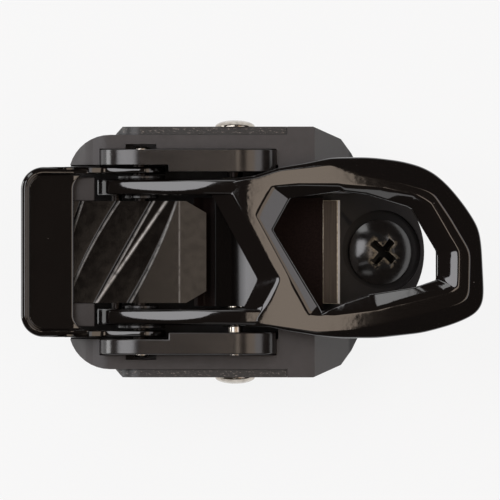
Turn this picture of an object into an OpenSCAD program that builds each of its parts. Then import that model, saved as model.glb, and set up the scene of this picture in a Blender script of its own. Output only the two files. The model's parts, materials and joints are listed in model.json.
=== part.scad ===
// Strap ratchet buckle: a sprung pawl holds a toothed strap, a loop lever winds it in,
// and a finger trigger lets it go. Millimetres, +X toward the lever loop, +Z up.

/* [Axles] */
// Distance of the front axle from the middle of the buckle
front_axle_x = 21.6; // [20:0.1:24]
// Distance between the front and the rear axle
axle_pitch = 18.3; // [17:0.1:20]
// Radius of both axles
axle_r = 1.5; // [1.2:0.1:1.8]
// Height of the axles above the ladder floor
axle_rise = 8.9; // [8.4:0.1:10]
// Radial clearance of a moving part on an axle
run_gap = 0.05; // [0.02:0.01:0.09]
// Sideways clearance between moving parts
side_gap = 0.3; // [0.3:0.05:0.4]
// Radius of the domed heads of the rear axle
head_r = 3.9; // [3:0.1:4.5]
// Height of the domed heads of the rear axle
head_h = 1.3; // [0.8:0.1:1.6]

/* [Widths] */
// Half width of the release tongue and of the holding pawl
tongue_half = 9.9; // [8:0.1:10.2]
// Gap between the tongue and the lever arms
arm_gap = 1.1; // [0.8:0.1:1.4]
// Thickness of each lever arm
arm_t = 3.2; // [2.6:0.1:3.6]
// Thickness of the outer thrust washers
washer_t = 0.7; // [0.4:0.1:0.9]
// Thickness of each trigger arm
trigger_arm_t = 1.4; // [1:0.1:1.8]
// Thickness of each cheek plate
cheek_t = 4.3; // [3.6:0.1:5]
// Thickness of each side wall of the body
wall_t = 2.7; // [2:0.1:3.2]
// Thickness of each outer side plate
plate_t = 1.6; // [1.2:0.1:2.2]

/* [Body] */
// Thickness of the floor under the ladder
floor_t = 2.6; // [2:0.1:3.4]
// Height of the side walls above the axles
wall_rise = 3.0; // [2:0.1:3.2]
// Length of the rounded ends of the cheek plates
cheek_r = 8.0; // [7.4:0.1:8.4]
// Distance of the left end of the body from the middle
nose_x = 35.9; // [34:0.1:37]
// Half width of the strap tongue
strap_half = 15.6; // [13:0.1:16]
// Downward slope of the strap tongue in degrees
strap_tilt = 16; // [10:1:20]
// Thickness of the strap tongue
strap_t = 3.4; // [2.8:0.1:4]
// Distance of the strap screw from the middle
screw_x = 25.3; // [24.5:0.1:26.5]
// Distance of the round end of the strap tongue from the middle
strap_end_x = 33.9; // [33:0.1:36]

/* [Strap screw] */
// Radius of the screw shank
shank_r = 3.0; // [2.5:0.1:3.2]
// Free length of the shank under the strap tongue
shank_free = 5.5; // [4:0.1:8]
// Radius of the screw head
screw_head_r = 6.4; // [5.5:0.1:7]
// Height of the domed screw head
screw_head_h = 3.0; // [2.4:0.1:3.6]
// Depth of the recess around the screw head
seat_depth = 1.0; // [0.6:0.1:1.4]

/* [Lever] */
// Distance of the lever tip from the middle
lever_tip = 45.1; // [42:0.1:50]
// Half width of the lever loop
lever_half = 18.4; // [17:0.1:20]
// Height of the lever top above the axles
lever_top = 9.4; // [8.8:0.1:10.4]
// Reach of the blunt ends of the lever arms in front of the front axle
disc_r = 8.5; // [7.6:0.1:8.6]
// Radius of the lever arms under the front axle
hub_r = 5.2; // [4.8:0.1:6]
// How far the loop end bends down
droop = 2.6; // [1:0.1:4]

/* [Trigger] */
// Distance of the trigger lip from the middle
lip_x = 45.1; // [43:0.1:47]
// Half width of the trigger paddle
paddle_half = 16.7; // [16.2:0.1:17]
// Height of the trigger lip above the axles
lip_rise = 9.6; // [8.5:0.1:11]
// Thickness of the rim along each side of the paddle
rim_t = 1.5; // [1:0.1:2]
// Radius of the trigger hubs
trigger_hub_r = 4.8; // [4:0.1:5.2]
// Depth of the thumb flutes in the release tongue
flute_depth = 0.5; // [0.2:0.05:0.7]

/* [Pawls] */
// Radius of the hub of the holding pawl
pawl_hub_r = 3.4; // [3.2:0.1:3.6]
// Reach of the tooth of the holding pawl from the rear axle
pawl_reach = 20.5; // [18:0.1:22]
// Radius of the pin of the drive pawl
pin_r = 1.0; // [0.8:0.1:1.2]
// Half width of the drive pawl
drive_half = 9.4; // [8:0.1:9.5]

/* [Springs] */
// Wire radius of the springs of the holding pawl
wire_r = 0.3; // [0.2:0.05:0.32]
// Distance between their curls
curl_pitch = 1.1; // [1.05:0.05:1.15]
// Wire radius of the spring of the drive pawl
fine_wire_r = 0.25; // [0.2:0.05:0.28]
// Distance between its curls
fine_pitch = 1.0; // [0.95:0.05:1.05]

/* [Hidden] */
$fn = 64;
xf = -front_axle_x;
xr = xf + axle_pitch;
fit_r = axle_r + run_gap;
// stack of widths, from the middle outward on each side
arm_in = tongue_half + arm_gap;
arm_out = arm_in + arm_t;
trig_in = arm_out + washer_t + side_gap;
trig_out = trig_in + trigger_arm_t;
cheek_in = trig_in + 0.4;
cheek_out = cheek_in + cheek_t;
wall_in = cheek_out + 0.2;
wall_out = wall_in + wall_t;
plate_out = wall_out + plate_t;
// strap tongue and heights; the screw tip stands on z = 0
hinge_x = 14;
tip_bevel = 0.6;
slide = (screw_x - hinge_x) / cos(strap_tilt);
shank_end = strap_t + shank_free;
floor_top = slide * sin(strap_tilt) + shank_end * cos(strap_tilt)
    + (shank_r - tip_bevel) * sin(strap_tilt);
base_z = floor_top - floor_t;
za = floor_top + axle_rise;
wall_z = za + wall_rise;
screw_z = floor_top - slide * sin(strap_tilt);
pin_x = xf - 4.8;
pin_z = za - 1.3;
tip_x = xr - 5.6;
paddle_x = 10.5 - lip_x;
plate_end = xr + 10.1;
plate_gap = 0.05;
pawl_half = tongue_half + 0.65;
pawl_end = xr + pawl_reach;

// side view outline carried across the width, from y0 to y1
module across(y0, y1) {
    translate([0, y1, 0]) rotate([90, 0, 0]) linear_extrude(y1 - y0) children();
}

// round bar along Y at x, z, from y0 to y1
module bar(x, z, r, y0, y1) {
    translate([x, y1, z]) rotate([90, 0, 0]) cylinder(r = r, h = y1 - y0);
}

// both sides of the buckle
module both() {
    children();
    mirror([0, 1, 0]) children();
}

// frame of the strap screw: z along the screw, zero on the top of the strap tongue
module at_screw() {
    translate([screw_x, 0, screw_z]) rotate([0, strap_tilt, 0]) children();
}

function arc(cx, cy, r, a0, a1, n) =
    [for (i = [0:n]) let(a = a0 + (a1 - a0) * i / n) [cx + r * cos(a), cy + r * sin(a)]];

// one wire along a list of points, six-sided
module wire(path, r) {
    n = len(path);
    function dir(i) = let(d = path[min(i + 1, n - 1)] - path[max(i - 1, 0)]) d / norm(d);
    pts = [for (i = [0:n - 1]) let(t = dir(i), s = cross(t, [0, 1, 0]), u = s / norm(s), v = cross(t, u))
        for (k = [0:5]) path[i] + r * (cos(60 * k) * u + sin(60 * k) * v)];
    sides = [for (i = [0:n - 2], k = [0:5]) let(a = 6 * i + k, b = 6 * i + (k + 1) % 6)
        each [[a, b + 6, b], [a, a + 6, b + 6]]];
    ends = [for (k = [1:4]) each [[0, k, k + 1], [6 * n - 6, 6 * n - 6 + k + 1, 6 * n - 6 + k]]];
    polyhedron(pts, concat(sides, ends));
    gap = min([for (i = [0:n - 7], j = [i + 6:n - 1]) norm(path[i] - path[j])]) - 2 * r;
    echo(str("least gap of the wire to itself ", gap));
}

// curls about an axle at x, z with a straight leg at each end
function curls(x, z, r, pitch, turns, a0, y0) =
    [for (i = [0:8 * turns]) [x + r * cos(a0 + 45 * i), y0 + pitch * i / 8, z + r * sin(a0 + 45 * i)]];

// left outer corner of the body, half of its outline in plan
body_plan = concat([[-nose_x, 0]], arc(-nose_x + 8.3, wall_out - 8.3, 8.3, 180, 90, 10),
    [[plate_end + plate_gap, wall_out], [plate_end + plate_gap, plate_out], [11.9, plate_out],
        [17.4, plate_out - 2.3], [19.5, plate_out - 5.1]],
    arc(strap_end_x - strap_half, 0, strap_half, 78, 0, 16));

body_back = [for (i = [len(body_plan) - 2:-1:1]) [body_plan[i].x, -body_plan[i].y]];

// side view of the whole body with its strap tongue
module body_side() {
    t = tan(strap_tilt);
    polygon(concat([[-nose_x, base_z + 2], [-nose_x + 2, base_z],
        [hinge_x - strap_t * tan(strap_tilt / 2), floor_top - strap_t],
        [screw_x + 20, floor_top - (screw_x + 20 - hinge_x) * t - strap_t / cos(strap_tilt)],
        [screw_x + 20, floor_top - (screw_x + 20 - hinge_x) * t],
        [20.5, floor_top - (20.5 - hinge_x) * t], [12.2, wall_z]],
        arc(-nose_x + 8, wall_z - 8, 8, 90, 180, 8)));
}

module base_body() {
    t = tan(strap_tilt);
    color("#3c3a3a") difference() {
        intersection() {
            linear_extrude(wall_z + 5) polygon(concat(body_plan, body_back));
            across(-60, 60) body_side();
        }
        // ladder channel between the cheeks and over the strap tongue
        across(-arm_in - 0.5, arm_in + 0.5) polygon([[-60, floor_top], [hinge_x, floor_top],
            [60, floor_top - (60 - hinge_x) * t], [60, 90], [-60, 90]]);
        // room for the lever arms, the trigger arms and the cheek plates
        translate([-60, -trig_out - 0.4, floor_top])
            cube([xr + cheek_r + 0.4 + 60, 2 * trig_out + 0.8, 60]);
        both() translate([xf - cheek_r - 0.06, 0, za - cheek_r])
            cube([axle_pitch + 2 * cheek_r + 0.12, wall_in, 60]);
        // open notches for the ends of the front axle
        both() translate([xf - 3, wall_in - 1, za - 2.6]) cube([6, 1.9, 60]);
        bar(xr, za, axle_r, -60, 60);
        at_screw() cylinder(r = shank_r + 0.2, h = 40, center = true);
        at_screw() translate([0, 0, -seat_depth]) cylinder(r = screw_head_r + 1.8, h = 20);
    }
}

module cheek() {
    color("#4a4846") difference() {
        // flat top with a quarter ellipse at each end, down to the top of the wall
        across(cheek_in, cheek_out) polygon(concat([[xf - cheek_r, za - cheek_r]],
            [for (t = [90:-9:0]) [xf - cheek_r * sin(t), wall_z + (za + cheek_r - wall_z) * cos(t)]],
            [for (t = [0:9:90]) [xr + cheek_r * sin(t), wall_z + (za + cheek_r - wall_z) * cos(t)]],
            [[xr + cheek_r, za - cheek_r]]));
        bar(xf, za, axle_r, 0, 60);
        bar(xr, za, axle_r, 0, 60);
        // room for the trigger arm
        translate([xf - 20, 0, za - 20]) cube([20 + trigger_hub_r + 0.6, trig_out + side_gap, 40]);
    }
}

module cheek_left() {
    cheek();
}

module cheek_right() {
    mirror([0, 1, 0]) cheek();
}

module side_plate() {
    x0 = xf - 5.1;
    x1 = plate_end;
    color("#2a2928") difference() {
        intersection() {
            linear_extrude(90)
                polygon([[x0, wall_out], [x0 + 1.5, plate_out], [x1, plate_out], [x1, wall_out]]);
            across(0, 60) polygon(concat(arc(x0 + 5, za - 2.6, 5, 90, 180, 8),
                arc(x0 + 5, base_z + 6.5, 5, 180, 270, 8), [[x1, base_z + 1.5], [x1, za + 2.4]]));
        }
        bar(xr, za, axle_r, 0, 60);
    }
}

module side_plate_left() {
    side_plate();
}

module side_plate_right() {
    mirror([0, 1, 0]) side_plate();
}

module front_axle() {
    e = cheek_out + 0.55;
    color("#b9b6b0") translate([xf, 0, za]) rotate([90, 0, 0]) rotate_extrude()
        polygon([[0, -e], [axle_r - 0.3, -e], [axle_r, -e + 0.3],
            [axle_r, e - 0.3], [axle_r - 0.3, e], [0, e]]);
}

module rear_axle() {
    dome_r = (head_r * head_r + head_h * head_h) / (2 * head_h);
    half = asin(head_r / dome_r);
    dome = arc(0, plate_out + head_h - dome_r, dome_r, 90 - half, 90, 8);
    foot = [for (i = [8:-1:0]) [dome[i].x, -dome[i].y]];
    color("#d8d5ce") translate([xr, 0, za]) rotate([90, 0, 0]) rotate_extrude()
        polygon(concat(foot, [[axle_r, -plate_out], [axle_r, plate_out]], dome));
}

module strap_screw() {
    dome_h = screw_head_h - 0.8;
    dome_r = (screw_head_r * screw_head_r + dome_h * dome_h) / (2 * dome_h);
    half = asin(screw_head_r / dome_r);
    color("#2b2a2a") at_screw() difference() {
        rotate_extrude() polygon(concat([[0, -shank_end], [shank_r - tip_bevel, -shank_end],
            [shank_r, -shank_end + tip_bevel], [shank_r, -strap_t - 0.2], [shank_r - 0.4, -strap_t - 0.2],
            [shank_r - 0.4, -seat_depth], [screw_head_r, -seat_depth]],
            arc(0, screw_head_h - seat_depth - dome_r, dome_r, 90 - half, 90, 12)));
        // cross recess
        rotate([0, 0, 50]) translate([-2.9, -0.75, 0]) cube([5.8, 1.5, 9]);
        rotate([0, 0, 140]) translate([-2.9, -0.75, 0]) cube([5.8, 1.5, 9]);
    }
}

// lever loop: points of its outlines, in plan, for a tip at 45.1 and a half width of 18.4
loop_c = [20.5, 0];
loop_out = [[44.6, 0.8], [44.2, 4.3], [43.6, 5.5], [41.4, 8.9], [38.5, 12.5], [35.6, 15.2],
    [32.7, 16.7], [28.8, 17.7], [23.9, 18.3], [21.4, 18.4], [15.4, 18.3], [5.2, 16.3], [0.6, 14.8], [-4, 14.2], [-7.1, 9.8], [1.1, -5.3],
    [-1.5, -10.6], [-4, -14.2], [3.5, -14.5], [6.5, -15.2], [12.4, -16.3], [17.2, -16.7],
    [24.3, -16.7], [33.2, -15.7], [39.3, -14], [44.3, -11.7], [45.1, -9.3]];
loop_land = [[42.3, 0], [38.4, 6.6], [35.2, 11.3], [33.4, 12.1], [28, 13.6], [21.2, 15], [15.4, 17],
    [5.2, 15.7], [0.6, 14.2], [-3.9, 13.6], [-3.9, 11.6], [5.3, -5.3], [1.8, -11.8], [0, -13.6],
    [6.5, -14.6], [12.4, -15.6], [19.8, -15.2], [25.3, -14], [36.2, -11.1], [41.1, -9.9],
    [42.1, -8.5]];
loop_rim = [[40.2, 0], [34.2, 9.3], [31.7, 10.9], [25.3, 12.4], [17, 13], [9, 13.1], [4.1, 12.7],
    [0.9, 7.1], [11.3, -12], [16, -12.1], [24.3, -11.1], [38.5, -7.6], [40, -6.8]];
loop_hole = [[35.7, 0.2], [31, 8.2], [29.9, 8.8], [22.2, 11.1], [17.3, 11.7], [7.4, 10.3], [4.1, 4.3],
    [13.7, -11.7], [18.1, -9.7], [22.7, -8.2], [31.7, -6.8], [35.7, -5.4]];

function across2(a, b) = a.x * b.y - a.y * b.x;
// distance from the loop centre to an outline along an angle
function hit(poly, a) = max([for (i = [0:len(poly) - 1])
    let(p = poly[i] - loop_c, e = poly[(i + 1) % len(poly)] - poly[i], d = [cos(a), sin(a)])
    let(den = across2(d, e))
    abs(den) < 1e-9 ? 0 :
    let(t = across2(p, e) / den, u = across2(p, d) / den)
    u >= -1e-6 && u <= 1 + 1e-6 && t > 0 ? t : 0]);
function soft(poly, a) = (hit(poly, a - 2) + 2 * hit(poly, a) + hit(poly, a + 2)) / 4;
function sag(x) = x > 12 ? droop * pow((x - 12) / 33, 2) : 0;
function under(x) = za + lever_top - 5.8 + 2.8 * min(1, max(0, (9 - x) / 6)) - sag(x);
// height of the lever's top face: it climbs from the arms and droops toward the tip
function crown(x) = za + lever_top - sag(x) - (x < -1 ? 0.4 * pow((x + 1) / 5, 2) : 0);
function at_angle(poly, i) = let(a = 5 * i, r = soft(poly, a)) [loop_c.x + r * cos(a), r * sin(a)];
function scaled(p, z) = [p.x * lever_tip / 45.1, p.y * lever_half / 18.4, z];
function ring_under(poly) = [for (i = [0:71]) let(p = at_angle(poly, i)) scaled(p, under(p.x))];
function ring_top(poly) = [for (i = [0:71]) let(p = at_angle(poly, i)) scaled(p, crown(p.x))];
// ring that falls from a neighbour ring by a slope, but stays over the underside
function ring_slope(poly, from, slope, rest) = [for (i = [0:71])
    let(p = at_angle(poly, i), w = norm(p - at_angle(from, i)))
    scaled(p, max(under(p.x) + rest, crown(p.x) - slope * w))];

module lever_loop() {
    rings = [ring_under(loop_out), ring_slope(loop_out, loop_land, 0.9, 0.8), ring_top(loop_land),
        ring_top(loop_rim), ring_slope(loop_hole, loop_rim, 0.65, 0.8), ring_under(loop_hole)];
    faces = [for (k = [0:5], i = [0:71])
        let(j = (i + 1) % 72, m = (k + 1) % 6)
        let(a = 72 * k + i, b = 72 * k + j, c = 72 * m + i, d = 72 * m + j)
        each [[a, d, b], [a, c, d]]];
    polyhedron([for (k = [0:5]) each rings[k]], faces);
}

// side view of an arm: a blunt nose, then an arch that climbs over the axle to the loop
module lever_arm_side() {
    // rise of the arched top over the axle, along x from the axle
    arch = [[20.6, 1], [16, 0.984], [11.5, 0.94], [6.3, 0.843], [3, 0.75], [0, 0.645], [-3.4, 0.503],
        [-5.6, 0.384], [-6.8, 0.282]];
    k = disc_r / 8.5;
    nose = [[-7.75, 1.2], [-8.35, -0.2], [-8.5, -1.2], [-8, -2.3], [-6.6, -3.2]];
    polygon(concat([[1.5, za + lever_top - 4.4], [1.5, za + lever_top]],
        [for (p = arch) [xf + (p.x < 0 ? k : 1) * p.x, za + p.y * lever_top]],
        [for (p = nose) [xf + k * p.x, za + p.y]],
        arc(xf, za, hub_r, 235, 340, 8), [[xf + disc_r, za + 0.4], [xr - 4, za + 2.9]]));
}

module lever() {
    color("#161515") difference() {
        union() {
            both() across(arm_in, arm_out) lever_arm_side();
            lever_loop();
        }
        bar(xf, za, fit_r, -60, 60);
        bar(pin_x, pin_z, pin_r, -60, 60);
    }
}

module outer_washers() {
    color("#1c1b1b") both() difference() {
        bar(xf, za, 4.7, arm_out, arm_out + washer_t);
        bar(xf, za, fit_r, 0, 60);
    }
}

module inner_washers() {
    color("#1c1b1b") both() difference() {
        bar(xf, za, 3.4, arm_in - 0.6, arm_in);
        bar(xf, za, fit_r, 0, 60);
    }
}

module drive_pawl_pin() {
    color("#b9b6b0") bar(pin_x, pin_z, pin_r, -arm_out, arm_out);
}

module drive_pawl() {
    color("#55524f") difference() {
        union() {
            bar(pin_x, pin_z, 2.1, -drive_half, drive_half);
            across(-drive_half, drive_half) polygon([[pin_x - 2.1, pin_z], [pin_x - 0.8, za - 5.8],
                [xf - 2.6, za - 7.3], [xf - 2.4, za - 5.2], [pin_x + 2.1, pin_z]]);
        }
        bar(pin_x, pin_z, pin_r + run_gap, -60, 60);
        // room for the spring
        bar(pin_x, pin_z, 2.9, -2.7, 2.7);
    }
}

module drive_pawl_spring() {
    r = pin_r + 0.35 + fine_wire_r;
    c = curls(pin_x, pin_z, r, fine_pitch, 4, 180, -2 * fine_pitch);
    n = len(c) - 1;
    color("#c9c6c0") wire(concat([c[0] + [0, 0, 2.2]], c, [c[n] + [0, 0, -1.6]]), fine_wire_r);
}

// side view of the scooped paddle with its raised lip
module paddle_side() {
    polygon([[paddle_x, za + 4.4], [paddle_x, za + 5.9], [paddle_x - 2.4, za + 6.1],
        [6 - lip_x, za + 6.5], [3.2 - lip_x, za + 7.3], [1.9 - lip_x, za + 8.1],
        [1.2 - lip_x, za + lip_rise - 0.3],
        [0.6 - lip_x, za + lip_rise], [-lip_x, za + lip_rise - 0.4], [-lip_x, za + 6.4],
        [0.9 - lip_x, za + 5], [2.7 - lip_x, za + 4.4]]);
}

// side view of the rim that runs from the lip along each side of the paddle
module rim_side() {
    polygon([[paddle_x + 0.2, za + 4.8], [paddle_x + 0.2, za + 6.5], [paddle_x - 2, za + 7],
        [3.2 - lip_x, za + lip_rise - 1.2], [1.2 - lip_x, za + lip_rise - 0.3], [1.2 - lip_x, za + 6]]);
}

module trigger_paddle() {
    k = 5;
    color("#141313") difference() {
        union() {
            intersection() {
                union() {
                    across(-paddle_half, paddle_half) paddle_side();
                    both() across(paddle_half - rim_t, paddle_half) rim_side();
                }
                linear_extrude(90) polygon(concat([[0, -paddle_half]], [[0, paddle_half]],
                    arc(-lip_x + k, paddle_half - k, k, 90, 180, 8),
                    arc(-lip_x + k, -paddle_half + k, k, 180, 270, 8)));
            }
            both() {
                bar(xf, za, trigger_hub_r, trig_in, trig_out);
                across(trig_in, trig_out) polygon([[xf, za + trigger_hub_r], [paddle_x - 1, za + 6.4],
                    [paddle_x - 2.2, za + 4.4], [paddle_x, za + 1.6], [xf, za - 2.6]]);
                // root of the arm in the paddle
                translate([paddle_x - 2.2, min(paddle_half, trig_in) - 2, za + 4.5])
                    cube([2, trig_out - min(paddle_half, trig_in) + 2, 1.3]);
            }
        }
        bar(xf, za, fit_r, -60, 60);
    }
}

// flutes of the leaf: place of each from the front axle, slant, width
flutes = [[-6.6, 0.53, 4.6], [0.6, 0.57, 3.4]];
function flute_r(w) = w * w / (8 * flute_depth) + flute_depth / 2;

// side view of the leaf from under the paddle to the tip that works the pawl
module tongue_side() {
    polygon([[paddle_x - 4, za + 4.4], [xf - disc_r, za + 4.4], [xf - 4, za + 4.5], [xf, za + 4.3],
        [xf + 7.6, za + 3.9], [tip_x, za + 3.75], [tip_x, za + 1.5], [xf + 7.6, za + 2.2], [xf, za + 2.6],
        [xf - 4, za + 2.8], [xf - disc_r, za + 2.7], [paddle_x - 4, za + 2.7]]);
}

module release_tongue() {
    shoulder = xf - disc_r - 0.5;
    color("#5b5855") difference() {
        intersection() {
            across(-trig_in + 0.7, trig_in - 0.7) tongue_side();
            linear_extrude(90) polygon([[-60, -trig_in], [shoulder, -trig_in], [shoulder, -tongue_half],
                [tip_x - 3.9, -tongue_half], [tip_x, -tongue_half + 2.3], [tip_x, tongue_half - 2.3],
                [tip_x - 3.9, tongue_half], [shoulder, tongue_half], [shoulder, trig_in], [-60, trig_in]]);
        }
        // slanted thumb flutes across the leaf
        intersection() {
            translate([-60, -tongue_half - 0.01, za]) cube([120, 2 * tongue_half + 0.02, 60]);
            for (f = flutes) translate([xf + f.x, 0, za + 4.4 + flute_r(f.z) - flute_depth])
                rotate([90, 0, -atan(f.y)]) cylinder(r = flute_r(f.z), h = 60, center = true, $fn = 180);
        }
    }
}

module holding_pawl() {
    e = pawl_end - 3.4;
    color("#3a3836") difference() {
        union() {
            bar(xr, za, pawl_hub_r, -pawl_half, pawl_half);
            // cap and ramp over the hub, plate to the tooth, and the tail under the tongue
            across(-pawl_half, pawl_half) polygon([[xr - 3.9, za + pawl_hub_r + 0.5],
                [xr + 0.4, za + pawl_hub_r], [xr + 4.6, za + pawl_hub_r + 1],
                [xr + 6.4, za - 1.3], [e, za - 2.7], [e, za - 5], [xr + 2, za - 3.4], [xr - 3.6, za - 1.9],
                [xr - 8.1, za - 1.2], [xr - 8.1, za + 1.5], [xr - 7.1, za + 1], [xr - 6.2, za + 0.2],
                [xr - 3.9, za - 0.1]]);
        }
        bar(xr, za, 2.3, -60, 60);
    }
}

module pawl_bush() {
    color("#8a7a5c") difference() {
        bar(xr, za, 2.3, -pawl_half, pawl_half);
        bar(xr, za, fit_r, -60, 60);
    }
}

module tooth_bar() {
    e = pawl_end;
    color("#9a9690") across(-tongue_half - 0.2, tongue_half + 0.2)
        polygon([[e - 3.4, za - 2.7], [e - 0.5, za - 2.9], [e, za - 3.5], [e - 0.2, za - 7.7],
            [e - 2, za - 6.6], [e - 3.4, za - 5]]);
}

module pawl_springs() {
    r = axle_r + 0.25 + wire_r;
    y0 = pawl_half + 0.15 + wire_r;
    c = curls(xr, za, r, curl_pitch, 3, 90, y0);
    n = len(c) - 1;
    path = concat([c[0] + [3.6, 0, -1.2]], c, [c[n] + [-2.4, 0, -0.4]]);
    color("#c9c6c0") both() wire(path, wire_r);
}

base_body();
cheek_left();
cheek_right();
side_plate_left();
side_plate_right();
front_axle();
rear_axle();
strap_screw();
lever();
outer_washers();
inner_washers();
drive_pawl_pin();
drive_pawl();
drive_pawl_spring();
trigger_paddle();
release_tongue();
holding_pawl();
pawl_bush();
tooth_bar();
pawl_springs();
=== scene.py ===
import json
import math

import bmesh
import bpy
import numpy as np
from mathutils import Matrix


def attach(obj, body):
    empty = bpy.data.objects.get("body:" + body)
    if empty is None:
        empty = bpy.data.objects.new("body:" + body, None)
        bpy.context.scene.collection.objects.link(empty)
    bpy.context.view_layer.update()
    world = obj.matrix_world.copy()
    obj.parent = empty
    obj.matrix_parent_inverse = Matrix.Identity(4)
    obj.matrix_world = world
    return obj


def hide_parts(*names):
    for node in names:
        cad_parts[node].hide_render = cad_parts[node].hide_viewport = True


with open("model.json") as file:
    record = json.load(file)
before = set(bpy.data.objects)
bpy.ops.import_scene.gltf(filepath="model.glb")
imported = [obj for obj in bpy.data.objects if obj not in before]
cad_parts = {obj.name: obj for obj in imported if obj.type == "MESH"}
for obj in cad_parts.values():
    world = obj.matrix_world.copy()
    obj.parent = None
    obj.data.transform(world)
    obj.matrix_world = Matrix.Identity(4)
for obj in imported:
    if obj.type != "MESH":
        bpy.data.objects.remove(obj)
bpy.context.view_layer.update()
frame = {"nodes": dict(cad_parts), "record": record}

# Body: the moulded base with side walls, ladder floor and strap tongue, of glass-filled nylon.
# It comes out of one mould, so its edges are eased and its faces keep the mould's fine spark grain.
MM, MERGE, FLAT, SHARP = 0.001, 0.001, math.radians(0.4), math.radians(32)


def linear(tone):
    """sRGB hex colour as linear RGBA: the standard curve, straight below 0.04045 and a 2.4 power above."""
    s = np.array([int(tone[i : i + 2], 16) for i in (1, 3, 5)]) / 255
    return (*np.where(s <= 0.04045, s / 12.92, ((s + 0.055) / 1.055) ** 2.4), 1.0)


def feed(tree, node, sockets):
    """Sets a node's sockets by name: a socket is linked, a hex colour made linear, all else is the value."""
    for name, value in sockets.items():
        socket = node.inputs[name]
        if isinstance(value, bpy.types.NodeSocket):
            tree.links.new(value, socket)
        else:
            socket.default_value = linear(value) if isinstance(value, str) else value


def add(tree, kind, sockets={}, stops=(), **settings):
    """Adds a shader node with its settings, its colour stops and its sockets."""
    node = tree.nodes.new("ShaderNode" + kind)
    for key, value in settings.items():
        setattr(node, key, value)
    for i, (at, shade) in enumerate(stops):
        ramp = node.color_ramp.elements
        stop = ramp[i] if i < 2 else ramp.new(at)
        stop.position, stop.color = at, linear(shade)
    feed(tree, node, sockets)
    return node


def material(name):
    """New material: itself, its node tree, its surface node and the piece's coordinates in metres."""
    stuff = bpy.data.materials.new(name)
    stuff.use_nodes = True
    tree = stuff.node_tree
    place = add(tree, "TexCoord").outputs["Object"]
    return stuff, tree, tree.nodes["Principled BSDF"], place


def seat(mesh, stuff, body, *nodes):
    """Object of a finished mesh, smooth up to its sharp edges, riding a body in place of CAD nodes."""
    obj = bpy.data.objects.new(mesh.name, mesh)
    bpy.context.collection.objects.link(obj)
    mesh.materials.append(stuff)
    mesh.shade_smooth()
    mesh.set_sharp_from_angle(angle=SHARP)
    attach(obj, body)
    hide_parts(*nodes)
    return obj


def eased(node, radius, stuff, body, wear_and_edge_highlight=None):
    """Copy of a CAD solid with its loose triangles merged, flat faces joined and sharp edges rounded; the
    rounded edges may take another material, for wear and for light lines painted along them as highlights."""
    form = bmesh.new()
    form.from_mesh(frame["nodes"][node].data)
    bmesh.ops.remove_doubles(form, verts=form.verts, dist=MERGE * MM)
    bmesh.ops.dissolve_limit(form, angle_limit=FLAT, verts=form.verts, edges=form.edges)
    mesh = bpy.data.meshes.new(node + "_skin")
    form.to_mesh(mesh)
    form.free()
    obj = seat(mesh, stuff, body, node)
    edge = obj.modifiers.new("eased_edge", "BEVEL")
    edge.width, edge.segments = radius * MM, 3
    edge.limit_method, edge.angle_limit = "ANGLE", SHARP
    obj.modifiers.new("flat_faces_stay_flat", "WEIGHTED_NORMAL").keep_sharp = True
    if wear_and_edge_highlight:
        mesh.materials.append(wear_and_edge_highlight)
        edge.material = 1
    return obj


# Glass-filled nylon, moulded: a dull dark grey with a soft sheen and a fine even grain, which is drawn
# coarser than the real one so that it shows.
nylon, tree, skin, place = material("glass_filled_nylon")
cloud = add(tree, "TexNoise", {"Vector": place, "Scale": 1 / (3 * MM), "Detail": 6.0, "Roughness": 0.65})
grain = add(tree, "TexNoise", {"Vector": place, "Scale": 1 / (0.25 * MM), "Detail": 3.0})
tone = add(tree, "ValToRGB", {"Fac": cloud.outputs["Fac"]}, stops=[(0.3, "#353131"), (0.7, "#413d3d")])
rough = add(tree, "MapRange", {"Value": cloud.outputs["Fac"], "To Min": 0.36, "To Max": 0.56})
bump = add(tree, "Bump", {"Height": grain.outputs["Fac"], "Strength": 0.5, "Distance": 0.02 * MM})
# Painted shade: the round seat of the screw and the deep floor are painted darker and duller than the open faces.
DISH_X, DISH_Y, DISH_R, DISH_EDGE = 25.5, 0.5, 8.2, 0.5
DEEP_Z, OPEN_Z = 12.6, 13.4
flat = add(tree, "VectorMath", {0: place, 1: (1, 1, 0)}, operation="MULTIPLY")
dish = add(tree, "VectorMath", {0: flat.outputs["Vector"], 1: (DISH_X * MM, DISH_Y * MM, 0)},
    operation="DISTANCE")
painted_shade_and_wear = add(tree, "MapRange", {"Value": dish.outputs["Value"], "From Min": (DISH_R - DISH_EDGE) * MM,
    "From Max": DISH_R * MM, "To Min": 0.08, "To Max": 1.0})
height = add(tree, "SeparateXYZ", {"Vector": place})
sunk = add(tree, "MapRange", {"Value": height.outputs["Z"], "From Min": DEEP_Z * MM, "From Max": OPEN_Z * MM,
    "To Min": 0.25, "To Max": 1.0})
painted_shade_and_wear = add(tree, "Math", {0: painted_shade_and_wear.outputs["Result"], 1: sunk.outputs["Result"]}, operation="MINIMUM")
# the dark colour mixed in here is painted shade
painted_shade_tone = add(tree, "Mix", {"Factor": painted_shade_and_wear.outputs["Value"], "A": "#0d0b0b", "B": tone.outputs["Color"]},
    data_type="RGBA")
gleam = add(tree, "MapRange", {"Value": painted_shade_and_wear.outputs["Value"], "To Min": 0.2, "To Max": 0.5})
feed(tree, skin, {"Base Color": painted_shade_tone.outputs["Result"], "Roughness": rough.outputs["Result"],
    "Normal": bump.outputs["Normal"], "IOR": 1.53, "Specular IOR Level": gleam.outputs["Result"]})
eased("base_body", 0.4, nylon, "base")

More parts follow.
